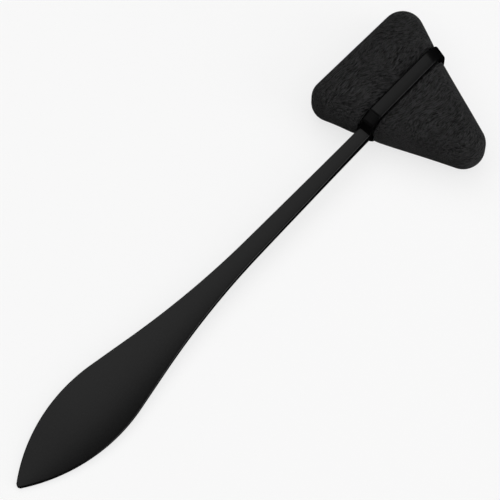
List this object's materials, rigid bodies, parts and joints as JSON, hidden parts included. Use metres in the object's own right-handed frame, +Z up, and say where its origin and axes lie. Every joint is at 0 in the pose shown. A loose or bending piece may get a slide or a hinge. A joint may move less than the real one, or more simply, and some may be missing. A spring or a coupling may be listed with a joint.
{
  "type": "reflex hammer",
  "caption": "Reflex hammer: triangular rubber head held by a metal band on a flat handle with a pointed leaf-shaped grip.",
  "frame": {"origin": "bottom centre of the bounding box, on the surface that the hammer lies on", "axes": "+X along the handle towards the head, +Y towards the broad end of the head, +Z up from the surface"},
  "size_m": [0.2, 0.0546, 0.0178],
  "materials": {
    "head_rubber": "matte black moulded rubber with a faint streaky grain",
    "band_metal": "satin black coated steel strip",
    "handle_metal": "satin black coated steel"
  },
  "bodies": {
    "root": {"rubber_head": "head_rubber", "head_band": "band_metal", "handle": "handle_metal"}
  },
  "joints": []
}
